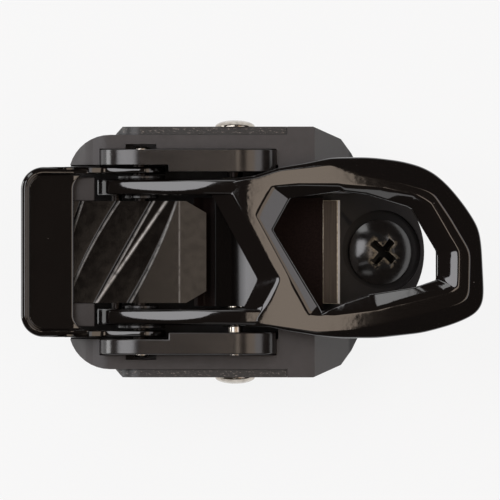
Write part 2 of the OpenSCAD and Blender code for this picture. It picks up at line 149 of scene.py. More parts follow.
# Cheek plates: two round-ended plates that stand in the pockets of the body and carry both axles.
# They are zinc die castings with a satin black coat.
# Satin black zinc: mirrors the lamps as soft bands on the round ends, with faint smears along the flats.
coat, tree, skin, place = material("satin_black_zinc")
smear = add(tree, "Mapping", {"Vector": place, "Scale": (1 / (9 * MM), 1 / (1.2 * MM), 1 / (3 * MM))})
cloud = add(tree, "TexNoise", {"Vector": smear.outputs["Vector"], "Scale": 1.0, "Detail": 5.0})
tone = add(tree, "ValToRGB", {"Fac": cloud.outputs["Fac"]}, stops=[(0.3, "#181514"), (0.75, "#231e1d")])
rough = add(tree, "MapRange", {"Value": cloud.outputs["Fac"], "To Min": 0.15, "To Max": 0.22})
peel = add(tree, "TexNoise", {"Vector": place, "Scale": 1 / (0.8 * MM), "Detail": 2.0})
bump = add(tree, "Bump", {"Height": peel.outputs["Fac"], "Strength": 0.6, "Distance": 0.012 * MM})
feed(tree, skin, {"Base Color": tone.outputs["Color"], "Roughness": rough.outputs["Result"],
    "Normal": bump.outputs["Normal"], "IOR": 1.7})
eased("cheek_left", 0.45, coat, "base")
eased("cheek_right", 0.45, coat, "base")

# Side plates: two stamped steel plates riveted flat on the outside of the body by the rear axle.
# They are black coated; the press left a torn, scuffed band along the edges that face up.
# Stamped steel: rough black with light flecks on the edge, painted near black in the gap as shade, and plain on
# the outer face.
GAP_Y, FACE_Y = (22.9, 23.2), (24.1, 24.35)
stamped, tree, skin, place = material("stamped_black_steel")
tear = add(tree, "Mapping", {"Vector": place, "Scale": (1 / (0.7 * MM), 1 / (0.35 * MM), 1 / (2 * MM))})
scuff = add(tree, "TexNoise", {"Vector": tear.outputs["Vector"], "Scale": 1.0, "Detail": 6.0, "Roughness": 0.7})
tone = add(tree, "ValToRGB", {"Fac": scuff.outputs["Fac"]},
    stops=[(0.36, "#0c0a0a"), (0.56, "#1d1a19"), (0.68, "#8d847c")])
side = add(tree, "VectorMath", {0: place}, operation="ABSOLUTE")
side = add(tree, "SeparateXYZ", {"Vector": side.outputs["Vector"]})
# the strip in the gap beside the wall is painted near black as shade
clear_of_gap_shade = add(tree, "MapRange", {"Value": side.outputs["Y"], "From Min": GAP_Y[0] * MM,
    "From Max": GAP_Y[1] * MM})
tone = add(tree, "Mix", {"Factor": clear_of_gap_shade.outputs["Result"], "A": "#060505", "B": tone.outputs["Color"]},
    data_type="RGBA")
face = add(tree, "MapRange", {"Value": side.outputs["Y"], "From Min": FACE_Y[0] * MM,
    "From Max": FACE_Y[1] * MM})
plain = add(tree, "ValToRGB", {"Fac": scuff.outputs["Fac"]}, stops=[(0.3, "#1b1818"), (0.7, "#2a2625")])
tone = add(tree, "Mix", {"Factor": face.outputs["Result"], "A": tone.outputs["Result"],
    "B": plain.outputs["Color"]}, data_type="RGBA")
rough = add(tree, "MapRange", {"Value": scuff.outputs["Fac"], "To Min": 0.22, "To Max": 0.5})
bump = add(tree, "Bump", {"Height": scuff.outputs["Fac"], "Strength": 0.8, "Distance": 0.06 * MM})
feed(tree, skin, {"Base Color": tone.outputs["Result"], "Roughness": rough.outputs["Result"],
    "Normal": bump.outputs["Normal"], "IOR": 1.6})
eased("side_plate_left", 0.5, stamped, "base")
eased("side_plate_right", 0.5, stamped, "base")

# Axles: the front axle carries lever and trigger, the rear one the holding pawl and the side plates.
# Both are turned steel; the rear one is nickelled and headed over, the front one is ground at its ends and
# painted near black as shade along its length.
joints = {j["name"]: np.array(j["pos_m"]) / MM for j in frame["record"]["behaviour"]["joints"]}
front_x, _, axle_z = joints["lever_lift"]
rear_x = joints["holding_pawl_lift"][0]
AXLE_R, HEAD_R, HEAD_H, PLATE_Y, POLE_R = 1.5, 3.85, 1.27, 24.42, 0.02


def lattice(start, rows, cols, closed):
    """Four-cornered faces of a grid of points, numbered from start, whose columns go round; closed rows meet
    too, open ones get two ends."""
    i, j = np.meshgrid(np.arange(rows - (not closed)), np.arange(cols), indexing="ij")
    down, beside = (i + 1) % rows * cols, (j + 1) % cols
    faces = np.stack([i * cols + j, i * cols + beside, down + beside, down + j], -1).reshape(-1, 4)
    ring = start + np.arange(cols)
    ends = [] if closed else [ring[::-1].tolist(), (ring + (rows - 1) * cols).tolist()]
    return (start + faces).tolist() + ends


def fuse(name, *solids):
    """One mesh of several closed solids, each an array of section points and whether its rows close."""
    mesh = bpy.data.meshes.new(name)
    points, faces, start = [], [], 0
    for grid, closed in solids:
        points.append(grid.reshape(-1, 3))
        faces += lattice(start, *grid.shape[:2], closed)
        start += len(points[-1])
    mesh.from_pydata((np.concatenate(points) * MM).tolist(), [], faces)
    form = bmesh.new()
    form.from_mesh(mesh)
    bmesh.ops.recalc_face_normals(form, faces=form.faces)
    form.to_mesh(mesh)
    form.free()
    return mesh


def lathe(y, r, n=96):
    """Turned piece on the rear axle's line: a ring of points at each y, at radius r from the line."""
    a = np.linspace(0, 2 * np.pi, n, endpoint=False)
    r = r[:, None]
    y = np.broadcast_to(y[:, None], (len(y), n))
    return np.stack([rear_x + r * np.cos(a), y, axle_z + r * np.sin(a)], 2)


# Bright nickel: mirrors the lamps warmly, with small dents on the domes and a stretch in the upper gap painted
# near black as shade.
# The lines from turning are drawn coarser than the real ones.
SHADED_GAP_Y = 9.5, 22
nickel, tree, skin, place = material("bright_nickel_steel")
turned = add(tree, "Mapping", {"Vector": place, "Scale": (1 / (2 * MM), 1 / (0.12 * MM), 1 / (2 * MM))})
lines = add(tree, "TexNoise", {"Vector": turned.outputs["Vector"], "Scale": 1.0, "Detail": 3.0})
dents = add(tree, "TexNoise", {"Vector": place, "Scale": 1 / (1.1 * MM), "Detail": 2.0})
tone = add(tree, "ValToRGB", {"Fac": dents.outputs["Fac"]}, stops=[(0.3, "#a59d93"), (0.7, "#cbc4ba")])
rough = add(tree, "MapRange", {"Value": lines.outputs["Fac"], "To Min": 0.08, "To Max": 0.2})
bump = add(tree, "Bump", {"Height": dents.outputs["Fac"], "Strength": 0.5, "Distance": 0.012 * MM})
# the stretch of axle in the upper gap is painted near black as shade
across = add(tree, "SeparateXYZ", {"Vector": place}).outputs["Y"]
begin = add(tree, "Math", {0: across, 1: SHADED_GAP_Y[0] * MM}, operation="GREATER_THAN")
end = add(tree, "Math", {0: across, 1: SHADED_GAP_Y[1] * MM}, operation="LESS_THAN")
upper_gap_shade = add(tree, "Math", {0: begin.outputs["Value"], 1: end.outputs["Value"]}, operation="MULTIPLY")
tone = add(tree, "Mix", {"Factor": upper_gap_shade.outputs["Value"], "A": tone.outputs["Color"], "B": "#141110"},
    data_type="RGBA")
feed(tree, skin, {"Base Color": tone.outputs["Result"], "Metallic": 1.0,
    "Roughness": rough.outputs["Result"], "Normal": bump.outputs["Normal"]})
t = np.linspace(0, np.pi / 2, 25)
head_y, head_r = PLATE_Y + HEAD_H * np.sin(t), HEAD_R * np.cos(t) + POLE_R
y = np.concatenate([-head_y[::-1], [-PLATE_Y, PLATE_Y], head_y])
r = np.concatenate([head_r[::-1], [AXLE_R, AXLE_R], head_r])
seat(fuse("rear_axle_headed", (lathe(y, r), False)), nickel, "base", "rear_axle")
# Axle steel with ground ends: painted near black along its length as shade in the gaps, and bright only where the
# ends show in the notches.
END_Y = 19.2, 19.5
shaded_axle_steel, tree, skin, place = material("axle_steel_painted_shade")
mottle = add(tree, "TexNoise", {"Vector": place, "Scale": 1 / (1.5 * MM), "Detail": 4.0})
side = add(tree, "VectorMath", {0: place}, operation="ABSOLUTE")
side = add(tree, "SeparateXYZ", {"Vector": side.outputs["Vector"]})
ends = add(tree, "MapRange", {"Value": side.outputs["Y"], "From Min": END_Y[0] * MM, "From Max": END_Y[1] * MM})
# the near black along the length is painted shade
tone = add(tree, "ValToRGB", {"Fac": mottle.outputs["Fac"]}, stops=[(0.3, "#141211"), (0.7, "#2a2624")])
tone = add(tree, "Mix", {"Factor": ends.outputs["Result"], "A": tone.outputs["Color"], "B": "#d8d0c4"},
    data_type="RGBA")
rough = add(tree, "MapRange", {"Value": mottle.outputs["Fac"], "To Min": 0.2, "To Max": 0.35})
feed(tree, skin, {"Base Color": tone.outputs["Result"], "Metallic": 1.0, "Roughness": rough.outputs["Result"]})
eased("front_axle", 0.1, shaded_axle_steel, "base")

# Strap screw: a domed machine screw with a cross recess that clamps the buckle to its strap.
# It is turned steel, oxided black; the driver has worn the edges of the recess back to bare metal.
# Black oxide: a dark spotted gloss, painted nearly black and dull inside the recess as shade, and rubbed to tan
# round the cross.
SCREW, TILT, RECESS_TOP, RECESS_R = np.array([25.3, 0, 9.22]), math.radians(16), 1.2, 3.3
LONG, WIDE, TURN, WORN = 2.9, 0.75, math.radians(50), (0.1, 0.75)
oxide, tree, skin, place = material("black_oxide_steel")
spots = add(tree, "TexNoise", {"Vector": place, "Scale": 1 / (0.9 * MM), "Detail": 5.0, "Roughness": 0.6})
tone = add(tree, "ValToRGB", {"Fac": spots.outputs["Fac"]}, stops=[(0.35, "#100e0d"), (0.7, "#1f1b19")])
rough = add(tree, "MapRange", {"Value": spots.outputs["Fac"], "To Min": 0.1, "To Max": 0.26})
bump = add(tree, "Bump", {"Height": spots.outputs["Fac"], "Strength": 0.5, "Distance": 0.03 * MM})
lean = (math.sin(TILT), 0, math.cos(TILT))
spot = add(tree, "VectorMath", {0: place, 1: SCREW * MM}, operation="SUBTRACT")
depth = add(tree, "VectorMath", {0: spot.outputs["Vector"], 1: lean}, operation="DOT_PRODUCT")
away = add(tree, "VectorMath", {0: spot.outputs["Vector"], 1: lean}, operation="CROSS_PRODUCT")
away = add(tree, "VectorMath", {0: away.outputs["Vector"]}, operation="LENGTH")
# inside the recess the colour is painted near black and the gloss taken down, as shade
below = add(tree, "Math", {0: depth.outputs["Value"], 1: RECESS_TOP * MM}, operation="LESS_THAN")
near = add(tree, "Math", {0: away.outputs["Value"], 1: RECESS_R * MM}, operation="LESS_THAN")
recess = add(tree, "Math", {0: below.outputs["Value"], 1: near.outputs["Value"]}, operation="MULTIPLY")
tone = add(tree, "Mix", {"Factor": recess.outputs["Value"], "A": tone.outputs["Color"], "B": "#060504"},
    data_type="RGBA")
gleam = add(tree, "MapRange", {"Value": recess.outputs["Value"], "To Min": 0.5, "To Max": 0.05})
# the worn border of the cross: how far a point lies outside two crossed bars, turned as the recess is
cross = add(tree, "Mapping", {"Vector": spot.outputs["Vector"], "Rotation": (0, -TILT, -TURN)})
cross = add(tree, "VectorMath", {0: cross.outputs["Vector"]}, operation="ABSOLUTE")
cross = add(tree, "SeparateXYZ", {"Vector": cross.outputs["Vector"]})
beyond = []
for u, v in [("X", "Y"), ("Y", "X")]:
    along = add(tree, "Math", {0: cross.outputs[u], 1: LONG * MM}, operation="SUBTRACT")
    aside = add(tree, "Math", {0: cross.outputs[v], 1: WIDE * MM}, operation="SUBTRACT")
    both = add(tree, "Math", {0: along.outputs["Value"], 1: aside.outputs["Value"]}, operation="MAXIMUM")
    beyond.append(both.outputs["Value"])
painted_shade_and_wear = add(tree, "Math", {0: beyond[0], 1: beyond[1]}, operation="MINIMUM")
painted_shade_and_wear = add(tree, "MapRange", {"Value": painted_shade_and_wear.outputs["Value"], "From Min": WORN[0] * MM,
    "From Max": WORN[1] * MM, "To Min": 1.0, "To Max": 0.0})
patchy = add(tree, "MapRange", {"Value": spots.outputs["Fac"], "From Min": 0.42, "From Max": 0.62})
painted_shade_and_wear = add(tree, "Math", {0: painted_shade_and_wear.outputs["Result"], 1: patchy.outputs["Result"]}, operation="MULTIPLY")
outside_recess = add(tree, "Math", {0: 1.0, 1: recess.outputs["Value"]}, operation="SUBTRACT")
painted_shade_and_wear = add(tree, "Math", {0: painted_shade_and_wear.outputs["Value"], 1: outside_recess.outputs["Value"]}, operation="MULTIPLY")
tone = add(tree, "Mix", {"Factor": painted_shade_and_wear.outputs["Value"], "A": tone.outputs["Result"], "B": "#8c7f6a"},
    data_type="RGBA")
feed(tree, skin, {"Base Color": tone.outputs["Result"], "Roughness": rough.outputs["Result"],
    "Normal": bump.outputs["Normal"], "IOR": 1.75, "Specular IOR Level": gleam.outputs["Result"]})
# Worn steel: bare light metal, half dull, on the rubbed edges; on the tooth bar's rounded edges it also paints
# light lines as highlights.
wear_and_edge_highlight, tree, skin, place = material("worn_steel_and_edge_highlight")
rub = add(tree, "TexNoise", {"Vector": place, "Scale": 1 / (0.5 * MM), "Detail": 4.0})
tone = add(tree, "ValToRGB", {"Fac": rub.outputs["Fac"]}, stops=[(0.3, "#8a7e6e"), (0.7, "#c6baa5")])
rough = add(tree, "MapRange", {"Value": rub.outputs["Fac"], "To Min": 0.4, "To Max": 0.22})
feed(tree, skin, {"Base Color": tone.outputs["Color"], "Metallic": 0.4, "Roughness": rough.outputs["Result"]})
eased("strap_screw", 0.18, oxide, "base", wear_and_edge_highlight=wear_and_edge_highlight)

# Lever: one die casting with two arms on the front axle and an open finger loop with a slanted strut.
# It is stoved in gloss black enamel, which rounds its edges and leaves a slight orange peel.
LOOP_CENTRE = np.array([20.5, 0.0])
# plan of the loop, counter-clockwise in mm: its outside, the land on top, the rim inside the land and the hole
LOOP_OUT = np.array([[44.6, 0.8], [44.2, 4.3], [43.6, 5.5], [41.4, 8.9], [38.5, 12.5], [35.6, 15.2],
    [32.7, 16.7], [28.8, 17.7], [23.9, 18.3], [21.4, 18.4], [15.4, 18.3], [5.2, 16.3], [0.6, 14.8], [-4, 14.2],
    [-9.3, 13.8], [1.1, -5.3], [-1.5, -10.6], [-4, -14.2], [3.5, -14.5], [6.5, -15.2], [12.4, -16.3],
    [17.2, -16.7], [24.3, -16.7], [33.2, -15.7], [39.3, -14], [44.3, -11.7], [45.1, -9.3]])
LOOP_LAND = np.array([[42.3, 0], [38.4, 6.6], [35.2, 11.3], [33.4, 12.1], [28, 13.6], [21.2, 15], [15.4, 17],
    [5.2, 15.7], [0.6, 14.2], [-3.9, 13.6], [-4.8, 13.3], [5.3, -5.3], [1.8, -11.8], [0, -13.6], [6.5, -14.6],
    [12.4, -15.6], [19.8, -15.2], [25.3, -14], [36.2, -11.1], [41.1, -9.9], [42.1, -8.5]])
LOOP_RIM = np.array([[39.4, 0.2], [34.2, 9.3], [31.7, 10.9], [25.3, 12.4], [17, 13], [9, 13.1], [4.1, 12.7],
    [0.9, 7.1], [11.3, -12], [16, -12.1], [24.3, -11.1], [38.0, -7.6], [39.3, -6.6]])
LOOP_HOLE = np.array([[35.7, 0.2], [31, 8.2], [29.9, 8.8], [22.2, 11.1], [17.3, 11.7], [7.4, 10.3], [4.1, 4.3],
    [13.7, -11.7], [18.1, -9.7], [22.7, -8.2], [31.7, -6.8], [35.7, -5.4]])
STEPS, LAND_FIRST, LAND_ROWS, TIP_CLOSE = 720, 0.26, (0, 0.11, 0.22, 0.33, 0.44), 0.95
# heights above the axles: the top, how it falls to the tip and to the arms, and the underside with its step
LEVER_TOP, DEPTH, EDGE_H = 9.4, 5.8, 0.8
CROWN_X, TIP_FALL, TIP_BEND, ARM_FALL, ARM_RUN = -1, 0.016, 0.0009, 0.4, 5
DROOP, DROOP_X, DROOP_RUN, STEP_UP, STEP_X, STEP_RUN = 2.6, 12, 33, 2.8, 9, 6
# slopes of the walls, and the degrees round the loop between which the inner wall changes
OUTER_SLOPE, INNER_SLOPE, TIP_STEEPER, TOP_RATIO = 0.85, 0.42, 0.26, 1.52
TOP_FROM, STRUT_FROM, STRUT_TO = 105, 142, 240
ARM_IN, ARM_OUT, ARM_NOSE, ARM_BULGE, ARM_SUNK = 11.0, 14.2, 0.3, 0.12, 0.06
ARM_START, ARM_DENSE, ARM_SPAN = 8.5, 1.2, (1.3, 33.5)


def smooth(values, width):
    """Running mean of a closed row of values under a bell of that many steps, which softens its corners."""
    k = np.arange(-3 * width, 3 * width + 1)
    bell = np.exp(-0.5 * (k / width) ** 2)
    return np.convolve(np.concatenate([values[k[0] :], values, values[: k[-1]]]), bell / bell.sum(), "valid")


def reach(outline, ease):
    """Points round an outline: along each ray from the loop's centre the farthest crossing with the edges, its
    corners softened over that many steps."""
    a = np.linspace(0, 2 * np.pi, STEPS, endpoint=False)
    d = np.stack([np.cos(a), np.sin(a)], 1)[:, None]
    p = (outline - LOOP_CENTRE)[None]
    e = (np.roll(outline, -1, 0) - outline)[None]
    den = d[..., 0] * e[..., 1] - d[..., 1] * e[..., 0]
    den = np.where(np.abs(den) < 1e-9, 1e-9, den)
    t = (p[..., 0] * e[..., 1] - p[..., 1] * e[..., 0]) / den
    u = (p[..., 0] * d[..., 1] - p[..., 1] * d[..., 0]) / den
    r = smooth(np.where((u > -1e-6) & (u < 1 + 1e-6) & (t > 0), t, 0).max(1), ease)
    return LOOP_CENTRE + r[:, None] * d[:, 0]


def crown(p):
    """Height of the lever's top face over a point: it climbs from the arms and falls ever faster to the tip."""
    after, before = np.clip(p[:, 0] - CROWN_X, 0, None), np.clip(CROWN_X - p[:, 0], 0, None)
    return axle_z + LEVER_TOP - TIP_FALL * after - TIP_BEND * after**2 - ARM_FALL * (before / ARM_RUN) ** 2


def under(p):
    """Height of the lever's underside over a point: the droop of the top, with a step up over the pawl."""
    droop = DROOP * (np.clip(p[:, 0] - DROOP_X, 0, None) / DROOP_RUN) ** 2
    return axle_z + LEVER_TOP - DEPTH + STEP_UP * np.clip((STEP_X - p[:, 0]) / STEP_RUN, 0, 1) - droop


def fall(p, outline, slope):
    """Height of an edge that falls from the top by a slope times its distance from another outline: the
    shortest of its distances to the outline's edges."""
    e = np.roll(outline, -1, 0) - outline
    v = p[:, None] - outline
    t = np.clip((v * e).sum(2) / (e * e).sum(1), 0, 1)
    away = np.linalg.norm(v - t[..., None] * e, axis=2).min(1)
    return np.maximum(under(p) + EDGE_H, crown(p) - slope * away)


def rounded(corners, cuts, n=5):
    """Closed sections with softened corners: each corner gives way to a parabola that starts and ends its
    cut away from it, at most 0.45 of an edge, so (rows, corners, 3) points become (rows, corners * n, 3)."""
    before, after = np.roll(corners, 1, 1) - corners, np.roll(corners, -1, 1) - corners
    cut = np.broadcast_to(cuts, corners.shape[:2])[..., None]
    a = corners + before * np.minimum(0.45, cut / np.linalg.norm(before, axis=2, keepdims=True))
    b = corners + after * np.minimum(0.45, cut / np.linalg.norm(after, axis=2, keepdims=True))
    t = np.linspace(0, 1, n)[None, None, :, None]
    soft = (1 - t) ** 2 * a[:, :, None] + 2 * t * (1 - t) * corners[:, :, None] + t**2 * b[:, :, None]
    return soft.reshape(len(corners), -1, 3)


def bar(x, low, high, inner, outer, nose, bulge, n=64):
    """Bar along x between two heights and two widths: its section is a superellipse of power 7 whose top
    bulges by a parabola, and it is drawn in along a quarter circle at its front end."""
    a = np.linspace(0, 2 * np.pi, n, endpoint=False)
    c, s = np.cos(a), np.sin(a)
    c, s = np.sign(c) * np.abs(c) ** (2 / 7), np.sign(s) * np.abs(s) ** (2 / 7)
    f = np.clip(nose - (x - x[0]), 0, nose)
    draw = nose - np.sqrt(nose**2 - f**2)
    z0, z1, h = low + draw, high - draw, (outer - inner) / 2
    y = (inner + outer) / 2 + (h - np.minimum(draw, 0.8 * h))[:, None] * c
    z = (z0 + z1)[:, None] / 2 + (z1 - z0)[:, None] / 2 * s - np.where(s > 0, bulge * c**2, 0)
    return np.stack([np.broadcast_to(x[:, None], y.shape), y, z], 2)


def curve(x, ease, *points):
    """Heights at x on a smooth curve through points: straight runs eased by a bell of that many mm."""
    px, pz = np.array(points).T
    s = np.linspace(-1, 1, 41) * 2
    w = np.exp(-0.5 * s**2)
    return (np.interp(x[:, None] + s * ease, px, pz) * w).sum(1) / w.sum()


def climb(x, end, *points):
    """Heights at x of a curve given by its slopes at points: the slopes are added up back from its end."""
    fine = np.linspace(x[0], x[-1], 4000)
    rise = np.cumsum(np.interp(fine, *np.array(points).T)) * (fine[1] - fine[0])
    return end - rise[-1] + np.interp(x, fine, rise)


# Gloss enamel: a deep black that mirrors the lamps sharply, with a slight orange peel and a few dust specks.
enamel, tree, skin, place = material("gloss_black_enamel")
peel = add(tree, "TexNoise", {"Vector": place, "Scale": 1 / (1.5 * MM), "Detail": 2.0, "Roughness": 0.4})
haze = add(tree, "TexNoise", {"Vector": place, "Scale": 1 / (7 * MM), "Detail": 5.0})
dust = add(tree, "TexVoronoi", {"Vector": place, "Scale": 1 / (4 * MM)})
tone = add(tree, "ValToRGB", {"Fac": dust.outputs["Distance"]}, stops=[(0.012, "#8a8580"), (0.03, "#0d0908")])
rough = add(tree, "MapRange", {"Value": haze.outputs["Fac"], "To Min": 0.04, "To Max": 0.1})
bump = add(tree, "Bump", {"Height": peel.outputs["Fac"], "Strength": 1.0, "Distance": 0.007 * MM})
feed(tree, skin, {"Base Color": tone.outputs["Color"], "Roughness": rough.outputs["Result"],
    "Normal": bump.outputs["Normal"], "IOR": 1.5, "Coat Weight": 1.0, "Coat Roughness": 0.06,
    "Coat Normal": bump.outputs["Normal"]})
# round the loop: tip grows from 0 to 1 towards its tip and crisp towards its strut
around = np.linspace(0, 2 * np.pi, STEPS, endpoint=False)
ahead, turn = np.cos(around), np.degrees(around)
tip, crisp = np.clip((ahead - 0.5) / 0.35, 0, 1), np.clip((-0.3 - ahead) / 0.2, 0, 1)[:, None]
# corners are soft round the tip and crisp on the strut
out = reach(LOOP_OUT, 7) * (1 - crisp) + reach(LOOP_OUT, 2) * crisp
land = reach(LOOP_LAND, 5) * (1 - crisp) + reach(LOOP_LAND, 3) * crisp
rim, hole = reach(LOOP_RIM, 1), reach(LOOP_HOLE, 1)
# inner wall: the strut's side keeps to its own two planes, the wall above it is steeper and so is the tip
near_side = np.clip((-5 - hole[:, 1]) / 1.5, 0, 1)
drop = crown(hole) - fall(hole, LOOP_RIM, INNER_SLOPE + TIP_STEEPER * tip * (1 - near_side))
strut = LOOP_RIM[6:9]
run = strut[1:] - strut[:-1]
gap = hole[:, None] - strut[:-1]
span = ((run[:, 0] * gap[..., 1] - run[:, 1] * gap[..., 0]) / np.linalg.norm(run, axis=1)).min(1)
drop = np.where((turn > TOP_FROM) & (turn <= STRUT_FROM), TOP_RATIO * drop, drop)
drop = np.where((turn > STRUT_FROM) & (turn < STRUT_TO), INNER_SLOPE * span, drop)
inner = np.maximum(under(hole) + EDGE_H, crown(hole) - smooth(drop, 3))
# sections across the ring: up the outside, over seven rows of the land and down into the hole
rows = [land + (rim - land) * (LAND_FIRST + f * (1 - TIP_CLOSE * tip))[:, None] for f in LAND_ROWS]
edges = [(out, under(out)), (out, fall(out, LOOP_LAND, OUTER_SLOPE - 0.2 * tip)),
    *[(p, crown(p)) for p in (land, *rows, rim)], (hole, inner), (hole, under(hole))]
sections = np.stack([np.column_stack(edge) for edge in edges], 1)
# how far each edge is rounded: more at the tip's rim and on the strut's knee, less on the strut's outer edges
knee = np.exp(-(((land[:, 1] + 8.4) / 2.6) ** 2)) * (land[:, 0] < 8)
cuts = np.tile([0.5, 0.35, 0.25, 0.1, 0.1, 0.1, 0.1, 0.1, 0.7, 0.5, 0.4], (STEPS, 1))
cuts[:, 8] += 0.6 * tip + 0.8 * np.clip((rim[:, 0] - 38) / 0.8, 0, 1)
cuts[:, 1:3] -= np.outer(np.clip((-0.5 - ahead) / 0.2, 0, 1), [0.25, 0.13])
cuts[:, 2] += 1.5 * knee
loop = rounded(sections, cuts, 7)
# arms: slopes of the top along x, and the underside with the hub on the front axle
x = np.concatenate([ARM_DENSE * np.linspace(0, 1, 24) ** 2, np.linspace(*ARM_SPAN, 160)])
x = front_x - ARM_START + x
high = climb(x, crown(np.array([[x[-1], 0]]))[0] - ARM_SUNK, (-30.1, 0.6), (-29.2, 0.58), (-29.05, 1.5),
    (-28.6, 1.5), (-28.3, 0.82), (-27.2, 0.53), (-25, 0.44), (-21.6, 0.37), (-15.3, 0.23), (-10, 0.11),
    (-8, 0.055), (-1.5, 0), (-1, -0.016), (3.4, -0.024))
low = axle_z + curve(x - front_x, 0.6, (-8.5, -1.3), (-8, -2.3), (-6.6, -3.2), (-3, -4.3), (0, -5.2), (3, -4.3),
    (5, -1.8), (8.5, 0.4), (14.3, 2.9), (20, 4.6), (36, 5))
arm = bar(x, low, high, ARM_IN, ARM_OUT, ARM_NOSE, ARM_BULGE)
casting = fuse("lever_casting", (loop, True), (arm, False), (arm * [1, -1, 1], False))
lever = seat(casting, enamel, "lever", "lever")
lever.modifiers.new("flat_faces_stay_flat", "WEIGHTED_NORMAL").keep_sharp = True

# Washers: thin rings on the front axle that keep the lever arms off their neighbours.
# They are moulded in black acetal.
# Black acetal: slick dark grey with a little gloss where the rings show in the gaps.
acetal, tree, skin, place = material("black_acetal")
cloud = add(tree, "TexNoise", {"Vector": place, "Scale": 1 / (1.5 * MM), "Detail": 4.0})
tone = add(tree, "ValToRGB", {"Fac": cloud.outputs["Fac"]}, stops=[(0.3, "#171515"), (0.7, "#262424")])
rough = add(tree, "MapRange", {"Value": cloud.outputs["Fac"], "To Min": 0.15, "To Max": 0.3})
feed(tree, skin, {"Base Color": tone.outputs["Color"], "Roughness": rough.outputs["Result"], "IOR": 1.48})
eased("outer_washers", 0.15, acetal, "lever")
eased("inner_washers", 0.12, acetal, "lever")

# Drive pawl: the sprung claw under the front axle that pulls the ladder in, on its pin in the lever arms.
# Both are hardened steel; the pin takes the front axle's steel, painted near black as shade.
# Tumbled steel: an even dull grey with a fine dimple.
steel, tree, skin, place = material("tumbled_steel")
cloud = add(tree, "TexNoise", {"Vector": place, "Scale": 1 / (0.6 * MM), "Detail": 5.0, "Roughness": 0.6})
tone = add(tree, "ValToRGB", {"Fac": cloud.outputs["Fac"]}, stops=[(0.3, "#6a655f"), (0.7, "#8b857d")])
rough = add(tree, "MapRange", {"Value": cloud.outputs["Fac"], "To Min": 0.28, "To Max": 0.45})
bump = add(tree, "Bump", {"Height": cloud.outputs["Fac"], "Strength": 0.5, "Distance": 0.02 * MM})
feed(tree, skin, {"Base Color": tone.outputs["Color"], "Metallic": 1.0,
    "Roughness": rough.outputs["Result"], "Normal": bump.outputs["Normal"]})
eased("drive_pawl_pin", 0.1, shaded_axle_steel, "lever")
eased("drive_pawl", 0.2, steel, "drive_pawl")

# Springs: three wound wires, one on the pin of the drive pawl and one each side of the holding pawl.
# They are hard-drawn spring wire, bright from the die, with a straight leg at each end.
pin_x, _, pin_z = joints["drive_pawl_swing"]


def wound(centre, radius, pitch, turns, start, y0, first, last, wire_r):
    """Wire wound about an axle: a helix of turns from a start angle with a straight leg at each end, then a
    ring of 10 points across each step of the path, on the two directions square to it."""
    a = np.radians(start + 360 * turns * np.linspace(0, 1, 32 * turns + 1))
    y = y0 + pitch * turns * np.linspace(0, 1, len(a))
    coil = np.stack([centre[0] + radius * np.cos(a), y, centre[1] + radius * np.sin(a)], 1)
    path = np.concatenate([[coil[0] + first], coil, [coil[-1] + last]])
    t = np.gradient(path, axis=0)
    u = np.cross(t, [0.0, 1.0, 0.0])
    u /= np.linalg.norm(u, axis=1, keepdims=True)
    v = np.cross(t, u)
    v /= np.linalg.norm(v, axis=1, keepdims=True)
    b = np.linspace(0, 2 * np.pi, 10, endpoint=False)[None, :, None]
    return path[:, None] + wire_r * (np.cos(b) * u[:, None] + np.sin(b) * v[:, None])


# Spring wire: bright metal that shows as thin light turns in the dark; its draw marks are drawn coarser.
wire, tree, skin, place = material("bright_spring_wire")
drawn = add(tree, "TexNoise", {"Vector": place, "Scale": 1 / (0.3 * MM), "Detail": 3.0})
tone = add(tree, "ValToRGB", {"Fac": drawn.outputs["Fac"]}, stops=[(0.3, "#9d978e"), (0.7, "#c4beb4")])
rough = add(tree, "MapRange", {"Value": drawn.outputs["Fac"], "To Min": 0.16, "To Max": 0.3})
feed(tree, skin, {"Base Color": tone.outputs["Color"], "Metallic": 1.0, "Roughness": rough.outputs["Result"]})
coil = wound((pin_x, pin_z), radius=1.6, pitch=1.0, turns=4, start=180, y0=-2.0, first=[0, 0, 2.2],
    last=[0, 0, -1.6], wire_r=0.25)
seat(fuse("drive_pawl_coil", (coil, False)), wire, "drive_pawl", "drive_pawl_spring")
coil = wound((rear_x, axle_z), radius=2.05, pitch=1.1, turns=3, start=90, y0=11.0, first=[3.6, 0, -1.2],
    last=[-2.4, 0, -0.4], wire_r=0.3)
seat(fuse("holding_pawl_coils", (coil, False), (coil * [1, -1, 1], False)), wire, "holding_pawl", "pawl_springs")

# Trigger: the scooped finger paddle with its rim and two arms that hang on the front axle.
# It is one casting, enamelled like the lever; the rim along its lip gives the finger its hold.
LIP_X, PADDLE_X, HALF, CORNER, ROLL, BRIM = -44.8, -34.6, 16.5, 4.4, 1.1, 0.4
HOLLOW_R, HOLLOW_Y, BELLY, BELLY_LIFT, BELLY_RUN = 3, 12.2, 4.4, 2.0, 2.7
HUB_R, HUB_TOP, HUB_FROM, PROUD = 4.8, 4.72, -4.7, 0.02
TRIGGER_IN, TRIGGER_OUT, TRIGGER_NOSE, TRIGGER_BULGE = 15.2, 16.6, 0.3, 0.06


